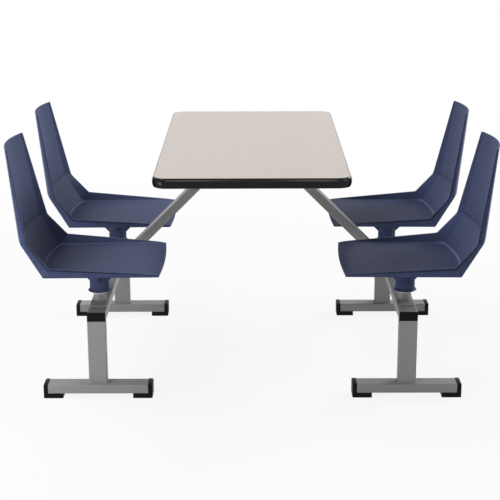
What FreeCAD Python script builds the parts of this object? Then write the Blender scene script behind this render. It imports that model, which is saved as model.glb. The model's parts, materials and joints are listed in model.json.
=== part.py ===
# Four-seat cluster table: a 24 x 48 in top on two tubular side frames, with four swivel seats.
# Millimetres. +X to the right, +Y to the rear, +Z up; the origin is on the floor under the
# middle of the table top.
import FreeCAD, Part
import math
import os
import Sketcher
from FreeCAD import Placement, Rotation, Vector

DRIVING_SIZES = {
    # table top
    "top_height": 765,
    "top_width": 610,
    "top_length": 1220,
    "top_corner_radius": 46,
    "laminate_thickness": 1.2,
    "backer_thickness": 0.8,
    "core_thickness": 30,
    "band_thickness": 6,
    "band_lip_radius": 4.5,
    "spine_height": 2.4,
    "spine_depth": 10,
    "spine_clearance": 0.1,
    # tubes of the frame
    "tube_width": 60,
    "tube_depth": 30,
    "tube_wall": 2,
    "tube_corner_radius": 3,
    "rail_offset": 504,
    "leg_offset": 430,
    "leg_length": 212,
    "foot_half_length": 178,
    "support_offset": 97.8,
    "support_half_length": 420,
    "cross_bar_inset": 90,
    # plastic caps
    "foot_pad_thickness": 16,
    "foot_pad_length": 64,
    "foot_cap_thickness": 15,
    "foot_cap_rise": 1,
    "foot_cap_radius": 3,
    "rail_cap_thickness": 4,
    "cap_plug_length": 14,
    "cap_plug_clearance": 0.2,
    # screws that hold the top
    "top_screw_radius": 2.5,
    "top_screw_head_radius": 5,
    "top_screw_head_height": 3,
    "top_screw_length": 24,
    "top_screw_offset": 260,
    "top_screw_access_radius": 7,
    # seat post and swivel
    "seat_offset": 318,
    "swivel_limit": 90,
    "post_radius": 19,
    "post_wall": 3,
    "post_height": 117,
    "post_plate_width": 52,
    "post_plate_length": 130,
    "post_plate_thickness": 5,
    "post_plate_radius": 4,
    "collar_radius": 21,
    "collar_height": 27,
    "bush_flange_radius": 25,
    "bush_flange_thickness": 4,
    "bush_length": 20,
    "upper_bush_drop": 4,
    "fixed_clearance": 0.1,
    "running_clearance": 0.3,
    "thrust_disc_thickness": 4,
    "thrust_spigot_length": 6,
    "swivel_bore_radius": 23,
    "swivel_wall": 4,
    "stop_screw_radius": 4,
    "stop_screw_length": 11.5,
    "stop_screw_socket_depth": 4,
    "stop_screw_socket_radius": 2.3,
    "stop_screw_drop": 59,
    "stop_slot_clearance": 0.5,
    # plate, hub and screws under each seat
    "seat_plate_size": 150,
    "seat_plate_thickness": 5,
    "seat_plate_radius": 12,
    "seat_screw_offset": 60,
    "seat_screw_radius": 3,
    "seat_screw_head_radius": 6,
    "seat_screw_head_height": 3.5,
    "seat_screw_engagement": 12,
    "screw_hole_clearance": 0.2,
    "hub_radius": 32,
    "hub_wall": 3.5,
    "hub_drop": 83,
    "hub_lip_radius": 37.5,
    "hub_lip_height": 4,
    "hub_flange_size": 166,
    "hub_flange_thickness": 4,
    "hub_rib_thickness": 5,
    "hub_rib_reach": 50,
    # moulded seat shell: distances behind (back) and beside (side) the swivel axis, and
    # rises above the underside of the pan
    "shell_pad_size": 170,
    "shell_pad_thickness": 8,
    "shell_pad_radius": 14,
    "shell_wall": 6,
    "rim_lip": 6,
    "pan_thickness": 5,
    "pan_crease_back": 158,
    "pan_crease_side": 186,
    "pan_crease_sagitta": 24,
    "lumbar_rise": 106,
    "lumbar_crease_back": 223,
    "lumbar_crease_side": 184,
    "lumbar_crease_sagitta": 23,
    "back_rise": 399,
    "top_crease_back": 266,
    "top_crease_side": 139,
    "top_crease_sagitta": 21,
    "heel_back": 153,
    "heel_side": 205,
    "lumbar_edge_back": 217,
    "lumbar_edge_side": 205,
    "top_edge_back": 261,
    "top_edge_side": 149,
    "hip_rise": 35,
    "hip_rim_back": 130,
    "hip_rim_side": 221,
    "lumbar_rim_back": 196,
    "lumbar_rim_side": 218,
    "top_rim_back": 256,
    "top_rim_side": 151,
    "front_reach": 217,
    "front_side": 196,
    "pan_edge_side": 191,
    "pan_front_rise": 12,
    "rim_front_rise": 9,
    "front_sagitta": 4,
    "front_corner_radius": 8,
    "back_corner_radius": 14,
}

doc = FreeCAD.newDocument("ClusterTable")
sheet = doc.addObject("Spreadsheet::Sheet", "Dims")
for row, (alias, size) in enumerate(DRIVING_SIZES.items(), start=1):
    sheet.set("A%d" % row, alias)
    sheet.set("B%d" % row, str(size))
    sheet.setAlias("B%d" % row, alias)
doc.recompute()


# ---- derived sizes, as expressions of the sheet's cells ------------------------------------

def d(alias):
    """The expression that reads one driving size."""
    return "Dims." + alias


def value(expression):
    """The present number behind an expression."""
    number = sheet.evalExpression(expression)
    return float(getattr(number, "Value", number))


def mix(low, high, share):
    """The expression a share of the way from one expression to another."""
    return "((%s) + ((%s) - (%s)) * (%s))" % (low, high, low, share)


FOOT_BAR_TOP = "(Dims.foot_pad_thickness + Dims.tube_depth)"
RAIL_BOTTOM = "(%s + Dims.leg_length)" % FOOT_BAR_TOP
RAIL_TOP = "(%s + Dims.tube_depth)" % RAIL_BOTTOM
FRAME_FRONT = "(Dims.leg_offset + Dims.tube_depth / 2)"

TOP_THICKNESS = "(Dims.laminate_thickness + Dims.core_thickness + Dims.backer_thickness)"
TOP_UNDERSIDE = "(Dims.top_height - %s)" % TOP_THICKNESS
CORE_BOTTOM = "(%s + Dims.backer_thickness)" % TOP_UNDERSIDE
CORE_WIDTH = "(Dims.top_width - 2 * Dims.band_thickness)"
CORE_LENGTH = "(Dims.top_length - 2 * Dims.band_thickness)"
CORE_RADIUS = "(Dims.top_corner_radius - Dims.band_thickness)"

TUBE_BORE_CORNER = "(Dims.tube_corner_radius - Dims.tube_wall / 2)"
SUPPORT_BOTTOM = "(%s - Dims.tube_depth)" % TOP_UNDERSIDE
CROSS_BAR_Y = "(Dims.support_half_length - Dims.cross_bar_inset)"

# An arm's toe is flush with the rail's outer face, and its head is centred on a support tube.
ARM_RISE = "(%s - %s)" % (SUPPORT_BOTTOM, RAIL_TOP)
ARM_REACH = "(Dims.rail_offset + Dims.tube_width / 2 - Dims.support_offset)"
ARM_ANGLE = "(atan(%s / %s) + asin(Dims.tube_depth / 2 / sqrt(%s ^ 2 + %s ^ 2)))" % (
    ARM_RISE, ARM_REACH, ARM_RISE, ARM_REACH)
ARM_CUT = "(Dims.tube_depth / sin(%s))" % ARM_ANGLE
ARM_FOOT_X = "(Dims.rail_offset + Dims.tube_width / 2 - %s / 2)" % ARM_CUT
ARM_RUN = "(%s - Dims.support_offset)" % ARM_FOOT_X

POST_BOTTOM = "(%s + Dims.post_plate_thickness)" % RAIL_TOP
COLLAR_TOP = "(%s + Dims.collar_height)" % POST_BOTTOM
BUSH_FLANGE_TOP = "(%s + Dims.bush_flange_thickness)" % COLLAR_TOP
SWIVEL_BOTTOM = "(%s + Dims.running_clearance)" % BUSH_FLANGE_TOP
POST_TOP = "(%s + Dims.post_height)" % POST_BOTTOM
PLATE_BOTTOM = "(%s + Dims.thrust_disc_thickness)" % POST_TOP
PLATE_TOP = "(%s + Dims.seat_plate_thickness)" % PLATE_BOTTOM
SHELL_UNDERSIDE = "(%s + Dims.shell_pad_thickness)" % PLATE_TOP
HUB_TOP = PLATE_BOTTOM
HUB_FLANGE_BOTTOM = "(%s - Dims.hub_flange_thickness)" % HUB_TOP
HUB_BORE = "(Dims.hub_radius - Dims.hub_wall)"
SEAT_SCREW_LENGTH = ("(Dims.hub_flange_thickness + Dims.seat_plate_thickness"
                     " + Dims.seat_screw_engagement)")
STOP_LEVEL = "(%s - Dims.stop_screw_drop)" % POST_TOP
POST_BORE = "(Dims.post_radius - Dims.post_wall)"
POST_FIT = "(Dims.post_radius + Dims.fixed_clearance)"
BUSH_RUNNING = "(Dims.swivel_bore_radius - Dims.running_clearance)"
SWIVEL_RADIUS = "(Dims.swivel_bore_radius + Dims.swivel_wall)"

CUT_OVERRUN = "1"    # how far a cutting profile runs past the material it cuts
CUT_SHARE = "1.2"    # the same, as a share of the face that a cutting loft follows
TOUCH = 1e-6         # two places closer than this are one place

ALONG_X = Rotation(Vector(0, 0, 1), Vector(1, 0, 0))
ALONG_Y = Rotation(Vector(0, 0, 1), Vector(0, 1, 0))
UPRIGHT = Rotation()
HALF_TURN = Rotation(Vector(0, 0, 1), 180)

SIDES = {"left": -1, "right": 1}
ENDS = {"front": -1, "rear": 1}
CORNERS = {end + "_" + side: (SIDES[side], ENDS[end]) for end in ENDS for side in SIDES}

nodes = []


# ---- small tools for building the document ---------------------------------------------------

def keep(piece, label):
    """Names a finished sub-part and puts it on the list of nodes."""
    piece.Label = label
    nodes.append(piece)
    return piece


def bind(thing, **expressions):
    """Ties properties to expressions; a double underscore in a name stands for a dot."""
    for name, expression in expressions.items():
        thing.setExpression(name.replace("__", "."), expression)
    return thing


def place(piece, x="0", y="0", z="0", turn=UPRIGHT):
    """Puts a sub-part at a place that follows the sheet."""
    piece.Placement = Placement(Vector(value(x), value(y), value(z)), turn)
    bind(piece, Placement__Base__x=x, Placement__Base__y=y, Placement__Base__z=z)
    return piece


def new_body(name):
    return doc.addObject("PartDesign::Body", name)


def new_sketch(body, role="XY_Plane", level="0", tilt=None):
    """A sketch on one of the body's own planes, lifted by level and tilted about Y."""
    sketch = body.newObject("Sketcher::SketchObject", body.Name + "Sketch")
    plane = next(item for item in body.Origin.OriginFeatures if item.Role == role)
    sketch.AttachmentSupport = (plane, "")
    sketch.MapMode = "FlatFace"
    if tilt is not None:
        offset = Placement(Vector(0, 0, value(level)), Rotation(Vector(0, 1, 0), value(tilt)))
        sketch.AttachmentOffset = offset
        bind(sketch, AttachmentOffset__Rotation__Angle=tilt)
    bind(sketch, AttachmentOffset__Base__z=level)
    return sketch


def constrain(sketch, kind, *where, size):
    """A dimension of a sketch, driven by an expression."""
    index = sketch.addConstraint(Sketcher.Constraint(kind, *where, value(size)))
    sketch.setExpression("Constraints[%d]" % index, size)


def pin(sketch, geometry, point, x, y):
    """Fixes one point of a sketch element at (x, y)."""
    constrain(sketch, "DistanceX", -1, 1, geometry, point, size=x)
    constrain(sketch, "DistanceY", -1, 1, geometry, point, size=y)


def add_circle(sketch, radius, x="0", y="0"):
    circle = Part.Circle(Vector(value(x), value(y), 0), Vector(0, 0, 1), value(radius))
    index = sketch.addGeometry(circle)
    pin(sketch, index, 3, x, y)
    constrain(sketch, "Radius", index, size=radius)


def add_outline(sketch, points, arcs=None):
    """A closed outline through points; arcs maps an edge's number to its radius and bulge side."""
    arcs = arcs or {}
    corners = [Vector(value(x), value(y), 0) for x, y in points]
    count = len(points)
    starts = {}
    for edge in range(count):
        start, end = corners[edge], corners[(edge + 1) % count]
        if edge in arcs:
            radius, side = arcs[edge]
            first, second = (start, end) if side > 0 else (end, start)
            chord = second - first
            inwards = Vector(-chord.y, chord.x, 0).normalize()
            height = math.sqrt(value(radius) ** 2 - chord.Length ** 2 / 4)
            centre = (first + second) * 0.5 + inwards * height
            circle = Part.Circle(centre, Vector(0, 0, 1), value(radius))
            from_angle = math.atan2(first.y - centre.y, first.x - centre.x)
            to_angle = math.atan2(second.y - centre.y, second.x - centre.x)
            if to_angle < from_angle:
                to_angle += 2 * math.pi
            index = sketch.addGeometry(Part.ArcOfCircle(circle, from_angle, to_angle))
            starts[edge] = (index, 1, 2) if side > 0 else (index, 2, 1)
            constrain(sketch, "Radius", index, size=radius)
        else:
            index = sketch.addGeometry(Part.LineSegment(start, end))
            starts[edge] = (index, 1, 2)
    for edge in range(count):
        index, first, last = starts[edge]
        next_index, next_first, _ = starts[(edge + 1) % count]
        sketch.addConstraint(Sketcher.Constraint("Coincident", index, last, next_index, next_first))
        pin(sketch, index, first, *points[edge])


def add_rounded_rectangle(sketch, width, depth, radius):
    """A rectangle centred on the sketch's origin, with four equal round corners."""
    x, y, r = value(width) / 2, value(depth) / 2, value(radius)
    lines = [
        ((r - x, -y), (x - r, -y)),
        ((x, r - y), (x, y - r)),
        ((x - r, y), (r - x, y)),
        ((-x, y - r), (-x, r - y)),
    ]
    centres = [(x - r, r - y, 270), (x - r, y - r, 0), (r - x, y - r, 90), (r - x, r - y, 180)]
    edges = []
    for (start, end), (centre_x, centre_y, angle) in zip(lines, centres):
        line = Part.LineSegment(Vector(*start, 0), Vector(*end, 0))
        circle = Part.Circle(Vector(centre_x, centre_y, 0), Vector(0, 0, 1), r)
        arc = Part.ArcOfCircle(circle, math.radians(angle), math.radians(angle + 90))
        edges.append(sketch.addGeometry(line))
        edges.append(sketch.addGeometry(arc))
    for edge, following in zip(edges, edges[1:] + edges[:1]):
        sketch.addConstraint(Sketcher.Constraint("Tangent", edge, 2, following, 1))
    bottom, right, top, left = edges[0], edges[2], edges[4], edges[6]
    for line, direction in ((bottom, "Horizontal"), (right, "Vertical"),
                            (top, "Horizontal"), (left, "Vertical")):
        sketch.addConstraint(Sketcher.Constraint(direction, line))
    constrain(sketch, "DistanceX", -1, 1, right, 1, size="(%s) / 2" % width)
    constrain(sketch, "DistanceX", left, 1, -1, 1, size="(%s) / 2" % width)
    constrain(sketch, "DistanceY", -1, 1, top, 1, size="(%s) / 2" % depth)
    constrain(sketch, "DistanceY", bottom, 1, -1, 1, size="(%s) / 2" % depth)
    for arc in edges[1::2]:
        constrain(sketch, "Radius", arc, size=radius)


def pad(body, sketch, length, both_ways=False, downwards=False):
    """Adds the sketch's area, pushed out of its plane."""
    feature = body.newObject("PartDesign::Pad", body.Name + "Pad")
    feature.Profile = sketch
    feature.Midplane = both_ways
    feature.Reversed = downwards
    bind(feature, Length=length)
    return feature


def pocket(body, sketch, length, both_ways=False, upwards=False):
    """Takes the sketch's area away, below its plane unless upwards."""
    feature = body.newObject("PartDesign::Pocket", body.Name + "Pocket")
    feature.Profile = sketch
    feature.Midplane = both_ways
    feature.Reversed = upwards
    bind(feature, Length=length)
    return feature


def round_edges(body, radius, wanted):
    """Fillets the edges of the body's last feature that the function wanted picks out."""
    doc.recompute()
    base = body.Tip
    names = ["Edge%d" % (number + 1) for number, edge in enumerate(base.Shape.Edges) if wanted(edge)]
    feature = body.newObject("PartDesign::Fillet", body.Name + "Fillet")
    feature.Base = (base, names)
    bind(feature, Radius=radius)
    return feature


def turned(name, points):
    """A body of revolution about Z from a closed profile of (radius, height) points."""
    body = new_body(name)
    sketch = new_sketch(body, "XZ_Plane")
    add_outline(sketch, points)
    feature = body.newObject("PartDesign::Revolution", name + "Turned")
    feature.Profile = sketch
    feature.ReferenceAxis = (sketch, ["V_Axis"])
    feature.Angle = 360
    return body


def ring_points(inner, outer, bottom, top):
    return [(inner, bottom), (outer, bottom), (outer, top), (inner, top)]


def drilled_plate(name, width, depth, thickness, radius, holes=(), hole_radius="0"):
    """A flat plate with round corners and round holes; its underside is on the body's XY plane."""
    body = new_body(name)
    sketch = new_sketch(body)
    add_rounded_rectangle(sketch, width, depth, radius)
    for x, y in holes:
        add_circle(sketch, hole_radius, x, y)
    pad(body, sketch, thickness)
    return body


def tube(name, length, width=d("tube_width"), depth=d("tube_depth")):
    """A rectangular tube along the body's Z, from its XY plane."""
    body = new_body(name)
    sketch = new_sketch(body)
    add_rounded_rectangle(sketch, width, depth, d("tube_corner_radius"))
    add_rounded_rectangle(sketch, "(%s - 2 * Dims.tube_wall)" % width,
                          "(%s - 2 * Dims.tube_wall)" % depth,
                          TUBE_BORE_CORNER)
    pad(body, sketch, length)
    return body


def add_tube_plug(sketch, width, depth):
    """The outline of a plug that slides into a tube of this outside width and depth."""
    inset = "2 * (Dims.tube_wall + Dims.cap_plug_clearance)"
    add_rounded_rectangle(sketch, "(%s - %s)" % (width, inset), "(%s - %s)" % (depth, inset),
                          TUBE_BORE_CORNER)


def group(name, members):
    """Loose identical pieces that share one node."""
    compound = doc.addObject("Part::Compound", name)
    compound.Links = members
    return compound


def signed(sign, expression):
    """The expression on one side or the other of the origin."""
    return expression if sign > 0 else "-(%s)" % expression


def square_pattern(offset):
    return [(signed(x, offset), signed(y, offset)) for x in (1, -1) for y in (1, -1)]


# ---- table top -------------------------------------------------------------------------------

SCREW_ROWS = ["0", d("top_screw_offset"), "-" + d("top_screw_offset")]


def screw_places():
    """Where the screws go up through the support tubes, in plan."""
    return [(signed(side, d("support_offset")), row) for side in (1, -1) for row in SCREW_ROWS]


def build_laminate():
    body = drilled_plate("Laminate", CORE_WIDTH, CORE_LENGTH, d("laminate_thickness"), CORE_RADIUS)
    place(body, z="%s - Dims.laminate_thickness" % d("top_height"))
    keep(body, "laminate_sheet")


def build_core():
    """Particle board, with a groove all round for the edge band and pilot holes from below."""
    body = new_body("Core")
    outline = new_sketch(body)
    add_rounded_rectangle(outline, CORE_WIDTH, CORE_LENGTH, CORE_RADIUS)
    pad(body, outline, d("core_thickness"))
    groove_depth = "(Dims.spine_depth + Dims.spine_clearance)"
    groove = new_sketch(body, level="Dims.core_thickness / 2")
    add_rounded_rectangle(groove, CORE_WIDTH, CORE_LENGTH, CORE_RADIUS)
    add_rounded_rectangle(groove, "(%s - 2 * %s)" % (CORE_WIDTH, groove_depth),
                          "(%s - 2 * %s)" % (CORE_LENGTH, groove_depth),
                          "(%s - %s)" % (CORE_RADIUS, groove_depth))
    pocket(body, groove, "Dims.spine_height + 2 * Dims.spine_clearance", both_ways=True)
    pilots = new_sketch(body)
    for x, y in screw_places():
        add_circle(pilots, "Dims.top_screw_radius + Dims.fixed_clearance", x, y)
    reach = "Dims.top_screw_length - Dims.tube_wall - Dims.backer_thickness + Dims.screw_hole_clearance"
    pocket(body, pilots, reach, upwards=True)
    place(body, z=CORE_BOTTOM)
    keep(body, "top_core")


def build_backer():
    body = drilled_plate("Backer", CORE_WIDTH, CORE_LENGTH, d("backer_thickness"), CORE_RADIUS,
                         screw_places(), "Dims.top_screw_radius + Dims.screw_hole_clearance")
    place(body, z=TOP_UNDERSIDE)
    keep(body, "backer_sheet")


def build_edge_band():
    """Vinyl bull-nose band round the top, with a spine that sits in the core's groove."""
    body = new_body("EdgeBand")
    ring = new_sketch(body)
    add_rounded_rectangle(ring, d("top_width"), d("top_length"), d("top_corner_radius"))
    add_rounded_rectangle(ring, CORE_WIDTH, CORE_LENGTH, CORE_RADIUS)
    pad(body, ring, TOP_THICKNESS)
    half_width = value("Dims.top_width / 2")
    half_length = value("Dims.top_length / 2")
    slack = value("Dims.band_thickness / 2")

    def outer_rim(edge):
        box = edge.BoundBox
        level = box.ZLength < TOUCH
        reach_x = max(abs(box.XMin), abs(box.XMax))
        reach_y = max(abs(box.YMin), abs(box.YMax))
        return level and (reach_x > half_width - slack or reach_y > half_length - slack)

    round_edges(body, d("band_lip_radius"), outer_rim)
    spine = new_sketch(body, level="Dims.backer_thickness + Dims.core_thickness / 2")
    add_rounded_rectangle(spine, "(%s + Dims.band_thickness)" % CORE_WIDTH,
                          "(%s + Dims.band_thickness)" % CORE_LENGTH,
                          "(%s + Dims.band_thickness / 2)" % CORE_RADIUS)
    add_rounded_rectangle(spine, "(%s - 2 * Dims.spine_depth)" % CORE_WIDTH,
                          "(%s - 2 * Dims.spine_depth)" % CORE_LENGTH,
                          "(%s - Dims.spine_depth)" % CORE_RADIUS)
    pad(body, spine, d("spine_height"), both_ways=True)
    place(body, z=TOP_UNDERSIDE)
    keep(body, "edge_band")


def build_support_tubes():
    """Two tubes under the top, drilled for the screws, with two cross bars between them."""
    for side, sign in SIDES.items():
        body = tube("Support_" + side, "2 * Dims.support_half_length")
        half = d("support_half_length")
        for radius, depth in (
                (d("top_screw_access_radius"), d("tube_wall")),
                ("Dims.top_screw_radius + Dims.screw_hole_clearance", d("tube_depth"))):
            holes = new_sketch(body, "XZ_Plane", level="-Dims.tube_depth / 2")
            for row in SCREW_ROWS:
                add_circle(holes, radius, "0", "%s + %s" % (half, row))
            pocket(body, holes, depth, upwards=True)
        place(body, x=signed(sign, d("support_offset")), y="-" + half,
              z="%s + Dims.tube_depth / 2" % SUPPORT_BOTTOM, turn=ALONG_Y)
        keep(body, "support_tube_" + side)
    span = "(2 * Dims.support_offset - Dims.tube_width)"
    for end, sign in ENDS.items():
        body = tube("CrossBar_" + end, span, d("tube_depth"), d("tube_width"))
        place(body, x="-(%s) / 2" % span, y=signed(sign, CROSS_BAR_Y),
              z="%s + Dims.tube_depth / 2" % SUPPORT_BOTTOM, turn=ALONG_X)
        keep(body, "cross_bar_" + end)


def screw(name, head_radius, head_height, radius, length, x, y):
    """A round-headed screw pointing up: the head hangs below the XY plane."""
    head = bind(doc.addObject("Part::Cylinder", name + "Head"), Radius=head_radius, Height=head_height)
    place(head, z="-(%s)" % head_height)
    shank = bind(doc.addObject("Part::Cylinder", name + "Shank"), Radius=radius, Height=length)
    whole = doc.addObject("Part::Fuse", name)
    whole.Base = head
    whole.Tool = shank
    return place(whole, x, y)


def build_top_screws():
    members = [screw("TopScrew%d" % number, d("top_screw_head_radius"), d("top_screw_head_height"),
                     d("top_screw_radius"), d("top_screw_length"), x, y)
               for number, (x, y) in enumerate(screw_places())]
    screws = group("TopScrews", members)
    place(screws, z="%s - Dims.tube_wall" % TOP_UNDERSIDE)
    keep(screws, "top_screws")


# ---- side frames -----------------------------------------------------------------------------

def build_rails():
    rail_half = "(%s - Dims.rail_cap_thickness)" % FRAME_FRONT
    for side, sign in SIDES.items():
        body = tube("Rail_" + side, "2 * " + rail_half)
        place(body, x=signed(sign, d("rail_offset")), y="-" + rail_half,
              z="%s + Dims.tube_depth / 2" % RAIL_BOTTOM, turn=ALONG_Y)
        keep(body, "side_rail_" + side)
        caps = [rail_cap("RailCap_%s_%s" % (side, end), rail_half, end_sign)
                for end, end_sign in ENDS.items()]
        pair = group("RailCaps_" + side, caps)
        place(pair, x=signed(sign, d("rail_offset")), z="%s + Dims.tube_depth / 2" % RAIL_BOTTOM)
        keep(pair, "rail_end_caps_" + side)


def rail_cap(name, rail_half, sign):
    """A plastic plug with a flat head, closing one end of a rail."""
    body = new_body(name)
    head = new_sketch(body)
    add_rounded_rectangle(head, d("tube_width"), d("tube_depth"), d("tube_corner_radius"))
    pad(body, head, d("rail_cap_thickness"))
    plug = new_sketch(body)
    add_tube_plug(plug, d("tube_width"), d("tube_depth"))
    pad(body, plug, d("cap_plug_length"), downwards=True)
    turn = Rotation(Vector(0, 0, 1), Vector(0, sign, 0))
    return place(body, y=signed(sign, rail_half), turn=turn)


def build_legs():
    for corner, (side_sign, end_sign) in CORNERS.items():
        leg = tube("Leg_" + corner, d("leg_length"))
        place(leg, signed(side_sign, d("rail_offset")), signed(end_sign, d("leg_offset")), FOOT_BAR_TOP)
        keep(leg, "leg_" + corner)
        build_foot(corner, side_sign, end_sign)


def build_foot(corner, side_sign, end_sign):
    """The cross bar under one leg, with a plastic cap and pad on each of its ends."""
    bar_half = "(Dims.foot_half_length - Dims.foot_cap_thickness)"
    centre_x = signed(side_sign, d("rail_offset"))
    centre_y = signed(end_sign, d("leg_offset"))
    bar_level = "(Dims.foot_pad_thickness + Dims.tube_depth / 2)"
    bar = tube("FootBar_" + corner, "2 * " + bar_half, d("tube_depth"), d("tube_width"))
    place(bar, "%s - %s" % (centre_x, bar_half), centre_y, bar_level, ALONG_X)
    keep(bar, "foot_bar_" + corner)
    caps = [foot_cap("FootCap_%s_%s" % (corner, name), bar_half, sign)
            for name, sign in (("inner", -side_sign), ("outer", side_sign))]
    pair = group("FootCaps_" + corner, caps)
    place(pair, centre_x, centre_y, bar_level)
    keep(pair, "foot_caps_" + corner)


def foot_cap(name, bar_half, sign):
    """An L-shaped cap: a wall across the bar's end, a pad under the bar and a plug inside it."""
    body = new_body(name)
    profile = new_sketch(body, "XZ_Plane")
    floor = "-(Dims.foot_pad_thickness + Dims.tube_depth / 2)"
    bar_underside = "-Dims.tube_depth / 2"
    top = "(Dims.tube_depth / 2 + Dims.foot_cap_rise)"
    inner_end = "(Dims.foot_cap_thickness - Dims.foot_pad_length)"
    add_outline(profile, [
        (inner_end, floor),
        (d("foot_cap_thickness"), floor),
        (d("foot_cap_thickness"), top),
        ("0", top),
        ("0", bar_underside),
        (inner_end, bar_underside),
    ])
    pad(body, profile, d("tube_width"), both_ways=True)
    thickness = value(d("foot_cap_thickness"))
    crest = value(top)

    def outer_corner(edge):
        box = edge.BoundBox
        at_end = abs(box.XMin - thickness) < TOUCH and box.XLength < TOUCH
        upright = box.ZLength > crest
        return at_end and (upright or box.ZMin > crest - TOUCH)

    round_edges(body, d("foot_cap_radius"), outer_corner)
    plug = new_sketch(body, "YZ_Plane")
    add_tube_plug(plug, d("tube_width"), d("tube_depth"))
    pad(body, plug, d("cap_plug_length"), downwards=True)
    turn = UPRIGHT if sign > 0 else HALF_TURN
    return place(body, x=signed(sign, bar_half), turn=turn)


def build_arms():
    """Sloping tubes from the side rails to the support tubes, cut level at both ends."""
    for side, sign in SIDES.items():
        body = new_body("Arm_" + side)
        sketch = new_sketch(body)
        add_rounded_rectangle(sketch, ARM_CUT, d("tube_width"), d("tube_corner_radius"))
        add_rounded_rectangle(sketch, "(%s - 2 * Dims.tube_wall / sin(%s))" % (ARM_CUT, ARM_ANGLE),
                              "(Dims.tube_width - 2 * Dims.tube_wall)", TUBE_BORE_CORNER)
        feature = pad(body, sketch, ARM_RISE)
        feature.UseCustomVector = True
        feature.Direction = Vector(-sign * value(ARM_RUN), 0, value(ARM_RISE))
        feature.AlongSketchNormal = True
        bind(feature, Direction__x=signed(-sign, ARM_RUN), Direction__z=ARM_RISE)
        place(body, x=signed(sign, ARM_FOOT_X), z=RAIL_TOP)
        keep(body, "arm_" + side)


# ---- seat posts and swivels ------------------------------------------------------------------

def station(corner):
    """The swivel axis of one seat, in plan."""
    side_sign, end_sign = CORNERS[corner]
    return signed(side_sign, d("rail_offset")), signed(end_sign, d("seat_offset"))


def seat_turn(corner):
    """Seats are drawn facing +X; those on the right face the other way."""
    return UPRIGHT if CORNERS[corner][0] < 0 else HALF_TURN


def build_post(corner):
    """A tube with a slot part of the way round, in which the stop screw runs."""
    body = turned("Post_" + corner, ring_points(POST_BORE, d("post_radius"), POST_BOTTOM, POST_TOP))
    slot = new_sketch(body, "XZ_Plane")
    half_height = "(Dims.stop_screw_radius + Dims.stop_slot_clearance)"
    add_outline(slot, ring_points("-(Dims.post_radius + %s)" % CUT_OVERRUN,
                                  "-(%s - %s)" % (POST_BORE, CUT_OVERRUN),
                                  "%s - %s" % (STOP_LEVEL, half_height),
                                  "%s + %s" % (STOP_LEVEL, half_height)))
    groove = body.newObject("PartDesign::Groove", body.Name + "Slot")
    groove.Profile = slot
    groove.ReferenceAxis = (slot, ["V_Axis"])
    groove.Midplane = True
    bind(groove, Angle="2 * (Dims.swivel_limit * 1 deg + asin(%s / %s))" % (half_height, POST_BORE))
    x, y = station(corner)
    place(body, x, y, turn=seat_turn(corner))
    keep(body, "seat_post_" + corner)


def build_shared_rings():
    """Fixed rings of one kind share a node: one of each kind at every seat post."""
    profiles = {
        "post_collars": ring_points(POST_FIT, d("collar_radius"), POST_BOTTOM, COLLAR_TOP),
        "lower_bushes": [
            (POST_FIT, COLLAR_TOP),
            (d("bush_flange_radius"), COLLAR_TOP),
            (d("bush_flange_radius"), BUSH_FLANGE_TOP),
            (BUSH_RUNNING, BUSH_FLANGE_TOP),
            (BUSH_RUNNING, "%s + Dims.bush_length" % COLLAR_TOP),
            (POST_FIT, "%s + Dims.bush_length" % COLLAR_TOP),
        ],
        "upper_bushes": ring_points(
            POST_FIT, BUSH_RUNNING,
            "%s - Dims.upper_bush_drop - Dims.bush_length" % POST_TOP,
            "%s - Dims.upper_bush_drop" % POST_TOP),
        "thrust_discs": [
            ("0", "%s - Dims.thrust_spigot_length" % POST_TOP),
            ("%s - Dims.fixed_clearance" % POST_BORE, "%s - Dims.thrust_spigot_length" % POST_TOP),
            ("%s - Dims.fixed_clearance" % POST_BORE, POST_TOP),
            (BUSH_RUNNING, POST_TOP),
            (BUSH_RUNNING, PLATE_BOTTOM),
            ("0", PLATE_BOTTOM),
        ],
    }
    for label, points in profiles.items():
        members = []
        for corner in CORNERS:
            ring = turned("%s_%s" % (label, corner), points)
            members.append(place(ring, *station(corner)))
        keep(group(label + "_group", members), label)


def build_post_plates():
    members = []
    for corner in CORNERS:
        plate = drilled_plate("PostPlate_" + corner, d("post_plate_width"), d("post_plate_length"),
                              d("post_plate_thickness"), d("post_plate_radius"))
        members.append(place(plate, *station(corner), RAIL_TOP))
    keep(group("PostPlates", members), "post_plates")


def build_swivel_tube(corner):
    """The tube that turns about the post, with a radial hole for the stop screw."""
    points = ring_points(d("swivel_bore_radius"), SWIVEL_RADIUS, SWIVEL_BOTTOM, PLATE_BOTTOM)
    body = turned("SwivelTube_" + corner, points)
    hole = new_sketch(body, "YZ_Plane")
    add_circle(hole, "Dims.stop_screw_radius + Dims.fixed_clearance", "0", STOP_LEVEL)
    pocket(body, hole, "%s + %s" % (SWIVEL_RADIUS, CUT_OVERRUN))
    place(body, *station(corner), turn=seat_turn(corner))
    keep(body, "swivel_tube_" + corner)


def build_stop_screw(corner):
    """A socket set screw through the swivel tube; its tip runs in the post's slot."""
    name = "StopScrew_" + corner
    start = "(%s + Dims.stop_slot_clearance)" % POST_BORE
    rod = bind(doc.addObject("Part::Cylinder", name + "Rod"),
               Radius=d("stop_screw_radius"), Height=d("stop_screw_length"))
    socket = bind(doc.addObject("Part::Prism", name + "Socket"),
                  Circumradius=d("stop_screw_socket_radius"), Height=d("stop_screw_socket_depth"))
    place(socket, z="Dims.stop_screw_length - Dims.stop_screw_socket_depth")
    drilled = doc.addObject("Part::Cut", name + "Drilled")
    drilled.Base = rod
    drilled.Tool = socket
    backwards = Rotation(Vector(0, 0, 1), Vector(-1, 0, 0))
    place(drilled, x="-" + start, z=STOP_LEVEL, turn=backwards)
    holder = group(name, [drilled])
    place(holder, *station(corner), turn=seat_turn(corner))
    keep(holder, "stop_screw_" + corner)


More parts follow.
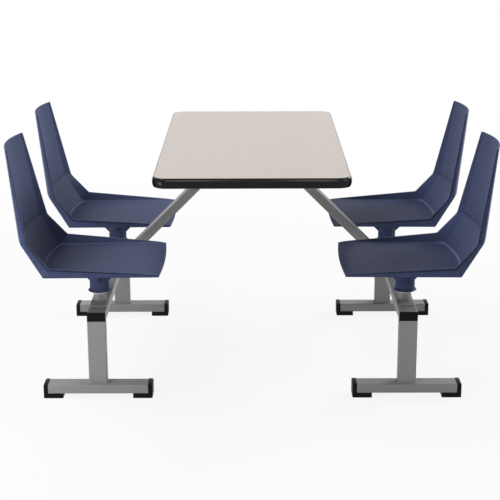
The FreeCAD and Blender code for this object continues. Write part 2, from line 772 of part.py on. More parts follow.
def build_seat_plate(corner):
    body = drilled_plate("SeatPlate_" + corner, d("seat_plate_size"), d("seat_plate_size"),
                         d("seat_plate_thickness"), d("seat_plate_radius"),
                         square_pattern(d("seat_screw_offset")),
                         "Dims.seat_screw_radius + Dims.screw_hole_clearance")
    place(body, *station(corner), PLATE_BOTTOM, turn=seat_turn(corner))
    keep(body, "seat_plate_" + corner)


def build_seat_screws(corner):
    members = [screw("SeatScrew%d_%s" % (number, corner), d("seat_screw_head_radius"),
                     d("seat_screw_head_height"), d("seat_screw_radius"), SEAT_SCREW_LENGTH, x, y)
               for number, (x, y) in enumerate(square_pattern(d("seat_screw_offset")))]
    screws = group("SeatScrews_" + corner, members)
    place(screws, *station(corner), HUB_FLANGE_BOTTOM, turn=seat_turn(corner))
    keep(screws, "seat_screws_" + corner)


def build_hub(corner):
    """The moulded cover round the swivel: a barrel with a lip, a flange and four ribs."""
    bottom = "(%s - Dims.hub_drop - Dims.hub_flange_thickness)" % HUB_TOP
    lip_top = "(%s + Dims.hub_lip_height)" % bottom
    body = turned("Hub_" + corner, [
        (HUB_BORE, bottom),
        (d("hub_lip_radius"), bottom),
        (d("hub_lip_radius"), "%s - Dims.hub_lip_height / 2" % lip_top),
        (d("hub_radius"), "%s + Dims.hub_lip_height / 2" % lip_top),
        (d("hub_radius"), HUB_TOP),
        (HUB_BORE, HUB_TOP),
    ])
    flange = new_sketch(body, level=HUB_FLANGE_BOTTOM)
    add_rounded_rectangle(flange, d("hub_flange_size"), d("hub_flange_size"), d("seat_plate_radius"))
    add_circle(flange, "%s + Dims.hub_wall / 2" % HUB_BORE)
    for x, y in square_pattern(d("seat_screw_offset")):
        add_circle(flange, "Dims.seat_screw_radius + Dims.screw_hole_clearance", x, y)
    pad(body, flange, d("hub_flange_thickness"))
    rib = new_sketch(body, "XZ_Plane")
    root = "(Dims.hub_radius - Dims.hub_wall / 2)"
    overlap = "(%s + Dims.hub_flange_thickness / 2)" % HUB_FLANGE_BOTTOM
    add_outline(rib, [
        (root, "%s - Dims.hub_rib_reach" % HUB_FLANGE_BOTTOM),
        (d("hub_radius"), "%s - Dims.hub_rib_reach" % HUB_FLANGE_BOTTOM),
        ("Dims.hub_radius + Dims.hub_rib_reach", HUB_FLANGE_BOTTOM),
        ("Dims.hub_radius + Dims.hub_rib_reach", overlap),
        (root, overlap),
    ])
    first_rib = pad(body, rib, d("hub_rib_thickness"), both_ways=True)
    doc.recompute()
    pattern = body.newObject("PartDesign::PolarPattern", body.Name + "Ribs")
    pattern.Originals = [first_rib]
    pattern.Axis = (rib, ["V_Axis"])
    pattern.Angle = 360
    pattern.Occurrences = 4
    body.Tip = pattern
    place(body, *station(corner), turn=seat_turn(corner))
    keep(body, "hub_cover_" + corner)


# ---- seat shell ------------------------------------------------------------------------------

def arc_radius(half_chord, sagitta):
    return "((%s)^2 + (%s)^2) / (2 * (%s))" % (half_chord, sagitta, sagitta)


def shell_section(body, level, half_points, back_sagitta, front_sagitta=None, tilt=None):
    """A closed section of the shell, from its half outline: (forward, side) from back to front."""
    sketch = new_sketch(body, level=level, tilt=tilt)
    near_side = [(forward, "-(%s)" % side) for forward, side in half_points]
    far_side = list(reversed(half_points))
    points = near_side + far_side
    last = len(half_points) - 1
    arcs = {len(points) - 1: (arc_radius(half_points[0][1], back_sagitta), 1)}
    if front_sagitta is not None:
        arcs[last] = (arc_radius(half_points[last][1], front_sagitta), 1)
    add_outline(sketch, points, arcs)
    return sketch


def loft(body, kind, sections):
    feature = body.newObject("PartDesign::" + kind, body.Name + kind)
    feature.Profile = sections[0]
    feature.Sections = sections[1:]
    feature.Ruled = True
    return feature


def behind(alias):
    """A driving distance measured backwards from the swivel axis."""
    return "-" + d(alias)


HIP_SHARE = "(Dims.hip_rise / Dims.lumbar_rise)"
PAN_SHARE = "((Dims.hip_rise - Dims.pan_thickness) / (Dims.lumbar_rise - Dims.pan_thickness))"
PAN_SLOPE = ("((Dims.pan_front_rise - Dims.pan_thickness)"
             " / (Dims.front_reach + Dims.pan_crease_back - Dims.shell_wall))")
RIM_FLARE = "(Dims.hip_rim_side - Dims.heel_side)"
WING_FOOT = "-(3 * Dims.heel_back + Dims.hip_rim_back) / 4"
FRONT_CORNER = "(Dims.front_reach - Dims.front_sagitta)"


def between(low, high, share):
    """Half-outline points a share of the way from one section to another."""
    return [(mix(a[0], b[0], share), mix(a[1], b[1], share)) for a, b in zip(low, high)]


def build_shell_outside(body):
    """The solid that the shell is cut from, through level sections of its outside."""
    pan = [
        (behind("pan_crease_back"), d("pan_crease_side")),
        (behind("heel_back"), d("heel_side")),
        (WING_FOOT, d("heel_side")),
        (FRONT_CORNER, d("front_side")),
    ]
    lumbar = [
        (behind("lumbar_crease_back"), d("lumbar_crease_side")),
        (behind("lumbar_edge_back"), d("lumbar_edge_side")),
        (behind("lumbar_rim_back"), d("lumbar_rim_side")),
        (FRONT_CORNER, "Dims.front_side + 3 * %s" % RIM_FLARE),
    ]
    top = [
        (behind("top_crease_back"), d("top_crease_side")),
        (behind("top_edge_back"), d("top_edge_side")),
        (behind("top_rim_back"), d("top_rim_side")),
        (FRONT_CORNER, "Dims.top_rim_side + 2 * %s" % RIM_FLARE),
    ]
    hip = between(pan, lumbar, HIP_SHARE)[:2] + [
        (behind("hip_rim_back"), d("hip_rim_side")),
        (FRONT_CORNER, "Dims.front_side + %s" % RIM_FLARE),
    ]
    hip_sagitta = mix(d("pan_crease_sagitta"), d("lumbar_crease_sagitta"), HIP_SHARE)
    front = d("front_sagitta")
    loft(body, "AdditiveLoft", [
        shell_section(body, "0", pan, d("pan_crease_sagitta"), front),
        shell_section(body, d("hip_rise"), hip, hip_sagitta, front),
        shell_section(body, d("lumbar_rise"), lumbar, d("lumbar_crease_sagitta"), front),
        shell_section(body, d("back_rise"), top, d("top_crease_sagitta"), front),
    ])


def cut_shell_rim(body):
    """Trims the solid to the rim line seen from the side: back, wings and pan edge."""
    lumbar = (behind("lumbar_rim_back"), d("lumbar_rise"))
    hip = (behind("hip_rim_back"), d("hip_rise"))
    above_top = (mix(lumbar[0], behind("top_rim_back"), CUT_SHARE),
                 mix(lumbar[1], d("back_rise"), CUT_SHARE))
    past_front = (mix(hip[0], d("front_reach"), CUT_SHARE),
                  mix(hip[1], d("rim_front_rise"), CUT_SHARE))
    profile = new_sketch(body, "XZ_Plane")
    add_outline(profile, [above_top, lumbar, hip, past_front, (past_front[0], above_top[1])])
    pocket(body, profile, "4 * Dims.hip_rim_side", both_ways=True)


def cut_shell_hollow(body):
    """Takes the sitter's side out of the solid, down to the back and pan surfaces."""
    wall = d("shell_wall")
    lip = d("rim_lip")
    front = "(Dims.front_reach * %s)" % CUT_SHARE
    pan = [
        ("%s - Dims.pan_crease_back" % wall, d("pan_crease_side")),
        ("%s - Dims.heel_back" % wall, d("pan_edge_side")),
        (front, "Dims.front_side - %s" % lip),
    ]
    lumbar = [
        ("%s - Dims.lumbar_crease_back" % wall, d("lumbar_crease_side")),
        (behind("lumbar_rim_back"), "Dims.lumbar_rim_side - %s" % lip),
        (front, "Dims.front_side + 3 * %s - %s" % (RIM_FLARE, lip)),
    ]
    hip = between(pan, lumbar, PAN_SHARE)[:1] + [
        (behind("hip_rim_back"), "Dims.hip_rim_side - %s" % lip),
        (front, "Dims.front_side + %s - %s" % (RIM_FLARE, lip)),
    ]
    top = [
        ("%s - Dims.top_crease_back" % wall, d("top_crease_side")),
        (behind("top_rim_back"), "Dims.top_rim_side - %s" % lip),
        (front, "Dims.top_rim_side + 2 * %s - %s" % (RIM_FLARE, lip)),
    ]
    above = between(lumbar, top, CUT_SHARE)
    pan_level = "Dims.pan_thickness + %s * (Dims.pan_crease_back - %s)" % (PAN_SLOPE, wall)
    hip_sagitta = mix(d("pan_crease_sagitta"), d("lumbar_crease_sagitta"), PAN_SHARE)
    above_sagitta = mix(d("lumbar_crease_sagitta"), d("top_crease_sagitta"), CUT_SHARE)
    loft(body, "SubtractiveLoft", [
        shell_section(body, pan_level, pan, d("pan_crease_sagitta"), tilt="-atan(%s)" % PAN_SLOPE),
        shell_section(body, d("hip_rise"), hip, hip_sagitta),
        shell_section(body, d("lumbar_rise"), lumbar, d("lumbar_crease_sagitta")),
        shell_section(body, mix(d("lumbar_rise"), d("back_rise"), CUT_SHARE), above, above_sagitta),
    ])


def round_back_corners(body):
    """Rounds the two top corners of the back, seen from the front."""
    lean = ("atan((Dims.lumbar_rim_side - Dims.top_rim_side)"
            " / (Dims.back_rise - Dims.lumbar_rise))")
    radius = d("back_corner_radius")
    run = "(%s * tan((90 deg - %s) / 2))" % (radius, lean)
    inner = "(Dims.top_rim_side - %s)" % run
    outer = "(Dims.top_rim_side + %s * sin(%s))" % (run, lean)
    low = "(Dims.back_rise - %s * cos(%s))" % (run, lean)
    for sign in (1, -1):
        corner = new_sketch(body, "YZ_Plane")
        add_outline(corner, [
            (signed(sign, inner), d("back_rise")),
            (signed(sign, outer), low),
            (signed(sign, "(%s + %s)" % (outer, radius)), low),
            (signed(sign, "(%s + %s)" % (outer, radius)), "Dims.back_rise + %s" % radius),
            (signed(sign, inner), "Dims.back_rise + %s" % radius),
        ], {0: (radius, -sign)})
        pocket(body, corner, "4 * Dims.top_crease_back", both_ways=True)


def round_front(body):
    """Rounds the pan's two front corners, seen from above."""
    front = value(FRONT_CORNER)
    side = value(d("front_side"))
    lip_rise = value(d("rim_front_rise"))

    def upright_corner(edge):
        box = edge.BoundBox
        at_corner = box.XMin > front - lip_rise and abs(box.Center.y) > side - lip_rise
        return at_corner and box.ZLength > lip_rise / 2 and box.YLength < lip_rise

    round_edges(body, d("front_corner_radius"), upright_corner)


def add_shell_pad(body):
    """A thick square under the pan, with blind holes for the plate's screws."""
    outline = new_sketch(body)
    add_rounded_rectangle(outline, d("shell_pad_size"), d("shell_pad_size"), d("shell_pad_radius"))
    pad(body, outline, d("shell_pad_thickness"), downwards=True)
    holes = new_sketch(body, level="-Dims.shell_pad_thickness")
    for x, y in square_pattern(d("seat_screw_offset")):
        add_circle(holes, "Dims.seat_screw_radius + Dims.fixed_clearance", x, y)
    pocket(body, holes, "Dims.seat_screw_engagement + Dims.screw_hole_clearance", upwards=True)


def build_shell(corner):
    body = new_body("Shell_" + corner)
    build_shell_outside(body)
    cut_shell_rim(body)
    cut_shell_hollow(body)
    round_back_corners(body)
    round_front(body)
    add_shell_pad(body)
    place(body, *station(corner), SHELL_UNDERSIDE, turn=seat_turn(corner))
    keep(body, "seat_shell_" + corner)


# ---- the whole table -------------------------------------------------------------------------

def build_seat(corner):
    build_post(corner)
    build_swivel_tube(corner)
    build_stop_screw(corner)
    build_seat_plate(corner)
    build_seat_screws(corner)
    build_hub(corner)
    build_shell(corner)


def build_table():
    build_laminate()
    build_core()
    build_backer()
    build_edge_band()
    build_support_tubes()
    build_top_screws()
    build_rails()
    build_legs()
    build_arms()
    build_shared_rings()
    build_post_plates()
    for corner in CORNERS:
        build_seat(corner)


def check_document():
    """Stops if any object failed to compute, or any sub-part has no sound shape."""
    for item in doc.Objects:
        if "Invalid" in item.State or "Error" in item.State:
            raise RuntimeError("%s (%s) did not compute: %s" % (item.Label, item.Name, item.State))
    for node in nodes:
        if node.Shape.isNull() or not node.Shape.isValid() or not node.Shape.Solids:
            raise RuntimeError("%s has no sound solid" % node.Label)


def export_nodes():
    os.makedirs("parts", exist_ok=True)
    for node in nodes:
        node.Shape.exportStep(os.path.join("parts", node.Label + ".step"))
        box = node.Shape.BoundBox
        print("%-28s %d solid(s)  %8.1f cm3  x %.1f..%.1f  y %.1f..%.1f  z %.1f..%.1f" % (
            node.Label, len(node.Shape.Solids), node.Shape.Volume / 1000,
            box.XMin, box.XMax, box.YMin, box.YMax, box.ZMin, box.ZMax))


build_table()
doc.recompute()
check_document()
export_nodes()
print(len(nodes), "nodes")
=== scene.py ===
"""The looks of a cluster table: laminate top, tubular frame and four swivelling bucket seats.

Metres, in the frame's own axes: X across the table, Y along it, Z up from the floor. Seat pieces
are shaped about their own swivel axis, facing +X, and then put at their station.
"""
import json
import math

import bmesh
import bpy
from mathutils import Matrix, Vector


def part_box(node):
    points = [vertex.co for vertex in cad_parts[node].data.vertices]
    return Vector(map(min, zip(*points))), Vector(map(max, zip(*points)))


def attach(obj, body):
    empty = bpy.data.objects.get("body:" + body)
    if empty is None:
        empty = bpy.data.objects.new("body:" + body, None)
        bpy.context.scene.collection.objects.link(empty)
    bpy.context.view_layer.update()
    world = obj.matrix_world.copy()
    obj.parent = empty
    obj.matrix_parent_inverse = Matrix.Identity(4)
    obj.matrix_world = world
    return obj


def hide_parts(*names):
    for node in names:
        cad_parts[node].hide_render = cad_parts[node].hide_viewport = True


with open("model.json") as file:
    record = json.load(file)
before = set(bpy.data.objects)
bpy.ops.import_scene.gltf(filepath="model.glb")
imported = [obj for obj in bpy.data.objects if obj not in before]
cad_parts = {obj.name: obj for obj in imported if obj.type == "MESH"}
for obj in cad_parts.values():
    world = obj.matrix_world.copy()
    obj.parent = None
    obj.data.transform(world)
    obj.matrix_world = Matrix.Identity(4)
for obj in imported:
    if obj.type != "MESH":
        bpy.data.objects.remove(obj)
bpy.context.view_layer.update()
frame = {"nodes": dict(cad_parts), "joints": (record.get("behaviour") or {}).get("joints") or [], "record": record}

SIDES = ("left", "right")
ENDS = ("front", "rear")
CORNERS = [end + "_" + side for end in ENDS for side in SIDES]
# Edges that turn by more than this stay sharp in the shading.
SHARP_ANGLE = math.radians(32)
# Vertices nearer than this, in metres, are at the same place.
SAME_PLACE = 1e-5


# ---- helpers ---------------------------------------------------------------------------------

def station(corner):
    """The matrix that carries a seat drawn about its swivel axis to its place."""
    joint = next(j for j in frame["joints"] if j["child"] == "seat_" + corner)
    x, y, _ = joint["pos_m"]
    turn = 0 if x < 0 else math.pi
    return Matrix.Translation((x, y, 0)) @ Matrix.Rotation(turn, 4, "Z")


def finish_piece(name, bm, slot, body, replaced=(), sharp=SHARP_ANGLE, place=None):
    """Makes the bmesh an object with its finish, riding on its body."""
    if place is not None:
        bmesh.ops.transform(bm, matrix=place, verts=bm.verts)
    mesh = bpy.data.meshes.new(name)
    bm.to_mesh(mesh)
    bm.free()
    mesh.shade_smooth()
    mesh.set_sharp_from_angle(angle=sharp)
    mesh.materials.append(FINISHES[slot])
    piece = bpy.data.objects.new(name, mesh)
    bpy.context.scene.collection.objects.link(piece)
    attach(piece, body)
    if replaced:
        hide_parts(*replaced)
    return piece


def bevel(bm, edges, width, segments):
    bmesh.ops.bevel(bm, geom=list(edges), offset=width, segments=segments, profile=0.5,
                    affect="EDGES", material=-1, clamp_overlap=True)


def new_verts(made):
    """The vertices among what a bmesh operator made."""
    return [item for item in made["geom"] if isinstance(item, bmesh.types.BMVert)]


def linked_edges(verts):
    return {edge for vert in verts for edge in vert.link_edges}


def add_block(bm, low, high, rounding, segments=3):
    """A box between two corners, with rounded edges."""
    low, high = Vector(low), Vector(high)
    verts = bmesh.ops.create_cube(bm, size=1)["verts"]
    size = Matrix.Diagonal((*(high - low), 1))
    bmesh.ops.transform(bm, matrix=Matrix.Translation((low + high) / 2) @ size, verts=verts)
    bevel(bm, linked_edges(verts), rounding, segments)


def add_turned(bm, profile, steps):
    """A solid turned about Z from a closed profile of (radius, height) points."""
    verts = [bm.verts.new((radius, 0, height)) for radius, height in profile]
    edges = closed_loop(bm, verts)
    bmesh.ops.spin(bm, geom=verts + edges, cent=(0, 0, 0), axis=(0, 0, 1),
                   angle=2 * math.pi, steps=steps, use_merge=True)
    bmesh.ops.recalc_face_normals(bm, faces=list(bm.faces))


def closed_loop(bm, verts):
    """Edges from each vertex to the next, and from the last to the first."""
    return [bm.edges.new((verts[i - 1], verts[i])) for i in range(len(verts))]


def arc(centre, radius, start, end, steps):
    """Points of a flat arc, from one angle to the other, in degrees."""
    angles = [math.radians(start + (end - start) * i / steps) for i in range(steps + 1)]
    return [(centre[0] + radius * math.cos(a), centre[1] + radius * math.sin(a)) for a in angles]


# ---- finishes --------------------------------------------------------------------------------

class Finish:
    """A material under construction: a Principled shader and patterns in Object coordinates."""

    def __init__(self, name, roughness, **sockets):
        self.material = bpy.data.materials.new(name)
        self.material.use_nodes = True
        self.nodes = self.material.node_tree.nodes
        self.links = self.material.node_tree.links
        self.shader = self.nodes["Principled BSDF"]
        self.shader.inputs["Roughness"].default_value = roughness
        for socket, number in sockets.items():
            self.shader.inputs[socket.replace("_", " ")].default_value = number
        self.place = self.nodes.new("ShaderNodeTexCoord").outputs["Object"]

    def noise(self, scale, detail, roughness=0.5):
        node = self.nodes.new("ShaderNodeTexNoise")
        node.inputs["Scale"].default_value = scale
        node.inputs["Detail"].default_value = detail
        node.inputs["Roughness"].default_value = roughness
        self.links.new(self.place, node.inputs["Vector"])
        return node.outputs["Fac"]

    def cells(self, scale):
        node = self.nodes.new("ShaderNodeTexVoronoi")
        node.inputs["Scale"].default_value = scale
        self.links.new(self.place, node.inputs["Vector"])
        return node

    def marked(self, name, start):
        """How strongly a mark on the mesh shows, from nothing at a start level to all at 1."""
        mark = self.nodes.new("ShaderNodeAttribute")
        mark.attribute_name = name
        node = self.nodes.new("ShaderNodeMapRange")
        node.inputs["From Min"].default_value = start
        self.links.new(mark.outputs["Fac"], node.inputs["Value"])
        return node.outputs["Result"]

    def ramp(self, pattern, *stops):
        """A colour or grey for each level of a pattern, from (level, colour) stops."""
        node = self.nodes.new("ShaderNodeValToRGB")
        ramp = node.color_ramp
        while len(ramp.elements) < len(stops):
            ramp.elements.new(0.5)
        for element, (level, colour) in zip(ramp.elements, stops):
            element.position = level
            rgb = colour if isinstance(colour, tuple) else (colour,) * 3
            element.color = (*rgb, 1)
        self.links.new(pattern, node.inputs["Fac"])
        return node.outputs["Color"]

    def blend(self, share, first, second, kind="MIX"):
        node = self.nodes.new("ShaderNodeMix")
        node.data_type = "RGBA"
        node.blend_type = kind
        if isinstance(share, float):
            node.inputs["Factor"].default_value = share
        else:
            self.links.new(share, node.inputs["Factor"])
        self.links.new(first, node.inputs["A"])
        self.links.new(second, node.inputs["B"])
        return node.outputs["Result"]

    def colour(self, output):
        self.links.new(output, self.shader.inputs["Base Color"])

    def roughen(self, pattern, low, high):
        node = self.nodes.new("ShaderNodeMapRange")
        node.inputs["To Min"].default_value = low
        node.inputs["To Max"].default_value = high
        self.links.new(pattern, node.inputs["Value"])
        self.links.new(node.outputs["Result"], self.shader.inputs["Roughness"])

    def bump(self, pattern, depth, strength):
        node = self.nodes.new("ShaderNodeBump")
        node.inputs["Strength"].default_value = strength
        node.inputs["Distance"].default_value = depth
        self.links.new(pattern, node.inputs["Height"])
        self.links.new(node.outputs["Normal"], self.shader.inputs["Normal"])


def laminate():
    """Satin laminate in a pinkish beige grey, with a fine fleck and faint clouds."""
    finish = Finish("laminate_satin", 0.42, Specular_IOR_Level=0.35)
    fleck = finish.ramp(finish.noise(240, 3, 0.6),
                        (0.35, (0.540, 0.480, 0.440)), (0.65, (0.755, 0.677, 0.630)))
    clouds = finish.ramp(finish.noise(16, 4),
                         (0.3, (0.645, 0.577, 0.530)), (0.7, (0.660, 0.590, 0.550)))
    finish.colour(finish.blend(0.3, fleck, clouds))
    finish.roughen(finish.noise(900, 1), 0.38, 0.48)
    finish.bump(finish.noise(1600, 1), 0.00004, 0.5)
    return finish.material


def particle_board():
    """Pressed wood chips, darker in the gaps."""
    finish = Finish("particle_board_raw", 0.85)
    chips = finish.cells(260)
    chip_tone = finish.ramp(chips.outputs["Color"],
                            (0.0, (0.30, 0.19, 0.10)), (1.0, (0.56, 0.40, 0.24)))
    gaps = finish.ramp(chips.outputs["Distance"], (0.35, 1.0), (0.75, 0.55))
    finish.colour(finish.blend(1.0, chip_tone, gaps, "MULTIPLY"))
    finish.bump(chips.outputs["Distance"], 0.0004, 0.6)
    return finish.material


def backer():
    """Dark phenolic backing sheet with a faint paper mottle."""
    finish = Finish("backer_phenolic", 0.6)
    finish.colour(finish.ramp(finish.noise(90, 5),
                              (0.3, (0.055, 0.050, 0.046)), (0.7, (0.085, 0.078, 0.072))))
    finish.bump(finish.noise(500, 2), 0.0001, 0.4)
    return finish.material


def edge_vinyl():
    """Glossy black vinyl, very slightly uneven so that reflections waver along it."""
    finish = Finish("edge_vinyl_gloss", 0.13, Specular_IOR_Level=0.2)
    finish.colour(finish.ramp(finish.noise(60, 2), (0.3, 0.001), (0.7, 0.003)))
    finish.roughen(finish.noise(140, 3), 0.12, 0.18)
    finish.bump(finish.noise(22, 2), 0.0004, 0.25)
    return finish.material


def frame_paint():
    """Silver-grey powder coat with a fine orange peel."""
    finish = Finish("frame_powder_coat", 0.45, Metallic=0.1, Specular_IOR_Level=0.2)
    flake = finish.ramp(finish.noise(1500, 2), (0.35, 0.268), (0.65, 0.316))
    tone = finish.ramp(finish.noise(9, 3), (0.3, 0.280), (0.7, 0.302))
    finish.colour(finish.blend(0.5, flake, tone))
    finish.roughen(finish.noise(700, 2), 0.40, 0.50)
    finish.bump(finish.noise(650, 2), 0.00006, 0.6)
    return finish.material


def cap_plastic():
    """Black moulded plastic, matt, with a fine grain."""
    finish = Finish("cap_plastic_black", 0.5, Specular_IOR_Level=0.1)
    finish.colour(finish.ramp(finish.noise(300, 3), (0.3, 0.002), (0.7, 0.006)))
    finish.roughen(finish.noise(500, 2), 0.42, 0.56)
    finish.bump(finish.noise(1100, 2), 0.00008, 0.6)
    return finish.material


# Below this level a painted highlight or painted shade mark on the mesh doesn't show.
PAINTED_LIGHT_START = 0.55


def seat_plastic():
    """Navy polypropylene with a sanded grain, painted highlights along the pan's edges and painted shade along the
    folds.
    """
    finish = Finish("seat_plastic_navy", 0.5, Specular_IOR_Level=0.06)
    grain = finish.ramp(finish.noise(320, 3, 0.6),
                        (0.32, (0.022, 0.029, 0.069)), (0.68, (0.098, 0.122, 0.246)))
    clouds = finish.ramp(finish.noise(28, 4),
                         (0.3, (0.051, 0.065, 0.136)), (0.7, (0.061, 0.077, 0.160)))
    body = finish.blend(0.4, grain, clouds)
    # Painted highlights along the pan's edges and rim, and painted shade along the lumbar fold and under the rim's
    # lip, both mottled by one noise.
    light_noise = finish.noise(90, 3)
    highlight_colour = finish.ramp(light_noise, (0.3, (0.165, 0.190, 0.290)), (0.7, (0.230, 0.255, 0.365)))
    shade_colour = finish.ramp(light_noise, (0.3, (0.006, 0.007, 0.013)), (0.7, (0.012, 0.014, 0.025)))
    body = finish.blend(finish.marked("painted_highlight", PAINTED_LIGHT_START), body, highlight_colour)
    finish.colour(finish.blend(finish.marked("painted_shade", PAINTED_LIGHT_START), body, shade_colour))
    finish.roughen(finish.noise(420, 3), 0.44, 0.58)
    finish.bump(finish.noise(420, 3), 0.0003, 0.8)
    return finish.material


def nylon():
    """Natural white nylon, slightly see-through."""
    finish = Finish("nylon_natural", 0.4, Subsurface_Weight=0.1)
    finish.colour(finish.ramp(finish.noise(40, 2),
                              (0.3, (0.66, 0.65, 0.60)), (0.7, (0.74, 0.73, 0.69))))
    finish.bump(finish.noise(900, 2), 0.00005, 0.5)
    return finish.material


def swivel_steel():
    """Black-coated steel of the swivel, thinly worn to grey in places."""
    finish = Finish("swivel_steel_black", 0.45, Metallic=0.5)
    finish.colour(finish.ramp(finish.noise(120, 5),
                              (0.45, (0.020, 0.020, 0.021)), (0.8, 0.075)))
    finish.roughen(finish.noise(300, 3), 0.35, 0.6)
    finish.bump(finish.noise(600, 2), 0.00006, 0.5)
    return finish.material


def screw_zinc():
    """Bright zinc plate, slightly clouded."""
    finish = Finish("screw_zinc_plate", 0.3, Metallic=1.0)
    finish.colour(finish.ramp(finish.noise(350, 3),
                              (0.3, (0.50, 0.50, 0.49)), (0.7, (0.66, 0.66, 0.64))))
    finish.roughen(finish.noise(500, 3), 0.22, 0.4)
    finish.bump(finish.noise(1200, 2), 0.00003, 0.4)
    return finish.material


FINISHES = {
    "laminate": laminate(),
    "particle_board": particle_board(),
    "backer": backer(),
    "edge_vinyl": edge_vinyl(),
    "frame_paint": frame_paint(),
    "cap_plastic": cap_plastic(),
    "nylon": nylon(),
    "swivel_steel": swivel_steel(),
    "screw_zinc": screw_zinc(),
    "seat_plastic": seat_plastic(),
}


def dress_frame():
    """Gives every CAD node the finish of its slot."""
    for subpart in frame["record"]["subparts"]:
        node = frame["nodes"][subpart["node"]]
        node.data.materials.clear()
        node.data.materials.append(FINISHES[subpart["material_slot"]])


# ---- bucket seats ----------------------------------------------------------------------------

# Each rib of the shell: (forward, side, rise) of the crease between back or pan and wing, the
# same for the wing's rim, and how far the middle bows backwards. Rises are above the pan's
# underside. The inside is what the sitter touches.
INSIDE = {
    "top": ((-0.260, 0.140, 0.399), (-0.256, 0.145, 0.399), 0.0215),
    "lumbar": ((-0.216, 0.184, 0.114), (-0.196, 0.212, 0.106), 0.024),
    "heel": ((-0.150, 0.188, 0.005), (-0.130, 0.215, 0.035), 0.024),
    "lip": ((0.183, 0.190, 0.0114), (0.183, 0.1955, 0.0114), -0.009),
    "nose": ((0.210, 0.190, 0.007), (0.210, 0.194, 0.007), -0.009),
}
OUTSIDE = {
    "top": ((-0.261, 0.149, 0.399), (-0.256, 0.151, 0.399), 0.0257),
    "lumbar": ((-0.217, 0.205, 0.106), (-0.196, 0.218, 0.106), 0.037),
    "heel": ((-0.153, 0.205, 0.000), (-0.130, 0.221, 0.035), 0.029),
    "lip": ((0.183, 0.197, 0.000), (0.183, 0.2020, 0.0114), -0.009),
    "nose": ((0.210, 0.196, 0.000), (0.210, 0.200, 0.007), -0.009),
}
# The rows of the shell's cage, from the top of the back to the front of the pan: each lies a
# share of the way from one rib to the next.
ROWS = [
    ("top", "lumbar", 0.0), ("top", "lumbar", 0.08), ("top", "lumbar", 0.5),
    ("top", "lumbar", 0.92), ("lumbar", "heel", 0.0), ("lumbar", "heel", 0.2),
    ("lumbar", "heel", 0.93), ("heel", "lip", 0.0), ("heel", "lip", 0.04),
    ("heel", "lip", 0.5), ("heel", "lip", 0.97), ("lip", "nose", 0.3), ("lip", "nose", 1.0),
]
LUMBAR_ROW, HEEL_ROW, NOSE_ROW = 4, 7, 11
# Across the shell the cage has a rim, the underside of its lip, the middle of the wing, the
# crease and the panel's thirds.
ACROSS = [-3.0, -2.84, -2.5, -2.0, -1.86, -1.0, 0.0, 1.0, 1.86, 2.0, 2.5, 2.84, 3.0]
CREASE_COLUMNS = (3, 9)
LIP_COLUMNS = (1, 11)
LIP_TUCK = 0.12
# How sharply the shell is creased along rows and columns, from 0, round, to 1, sharp.
INNER_ROW_CREASES = {LUMBAR_ROW: 0.62, HEEL_ROW: 0.4, NOSE_ROW: 0.3}
OUTER_ROW_CREASES = {LUMBAR_ROW: 0.62, HEEL_ROW: 0.75, NOSE_ROW: 0.3}
RIM_CREASE = 0.62
INNER_CREASE = 0.62
OUTER_CREASE = 0.65
SUBDIVISIONS = 3
# The sitter's side has a low bead along the heel, with a shallow valley behind it.
HEEL_BEAD = 0.0022
HEEL_VALLEY = 0.0030
# How strongly the pan's edges and rim carry painted highlights, and how strongly the lumbar fold and the lip's
# underside carry painted shade.
HEEL_HIGHLIGHT = 1.0
SIDE_HIGHLIGHT = 0.84
RIM_HIGHLIGHT = 0.80
FOLD_SHADE = 0.80
LIP_SHADE = 1.0
# The pad under the pan, which runs up into the shell a little.
SHELL_PAD = 0.008
PAD_HALF = 0.085
PAD_SUNK = 0.002
PAD_ROUNDING = 0.002


def between(first, second, share):
    return tuple(a + (b - a) * share for a, b in zip(first, second))


def rib(ribs, first, second, share):
    """One row of the cage: crease point, rim point and bow."""
    crease = between(ribs[first][0], ribs[second][0], share)
    rim = between(ribs[first][1], ribs[second][1], share)
    bow = ribs[first][2] + (ribs[second][2] - ribs[first][2]) * share
    return crease, rim, bow


def cage_point(crease, rim, bow, across):
    """The point of a row at a place across it, from -3 at one rim to 3 at the other."""
    side = -1 if across < 0 else 1
    if abs(across) > 2:
        point = between(crease, rim, abs(across) - 2)
        return Vector((point[0], side * point[1], point[2]))
    share = across / 2
    return Vector((crease[0] - bow * (1 - share * share), crease[1] * share, crease[2]))


def tucked(point, crease, rim):
    """A point of the wing's outside, drawn in under the rim's lip."""
    return point - Vector((0, math.copysign(LIP_TUCK * math.dist(crease, rim), point.y), 0))


def add_cage(bm, ribs, lipped):
    """A grid of rows and columns, moved on to one face of the shell."""
    columns, rows = len(ACROSS), len(ROWS)
    made = bmesh.ops.create_grid(bm, x_segments=columns - 1, y_segments=rows - 1, size=1)
    grid = {}
    for vert in made["verts"]:
        column = round((vert.co.x + 1) / 2 * (columns - 1))
        row = round((vert.co.y + 1) / 2 * (rows - 1))
        grid[row, column] = vert
    for (row, column), vert in grid.items():
        crease, rim, bow = rib(ribs, *ROWS[row])
        vert.co = cage_point(crease, rim, bow, ACROSS[column])
        if lipped and column in LIP_COLUMNS:
            vert.co = tucked(vert.co, crease, rim)
    return grid


def border(grid):
    """The edges round a cage."""
    return [edge for edge in linked_edges(grid.values()) if len(edge.link_faces) == 1]


def crease_line(bm, layer, verts, weight):
    for first, second in zip(verts, verts[1:]):
        edge = bm.edges.get((first, second))
        edge[layer] = max(edge[layer], weight)


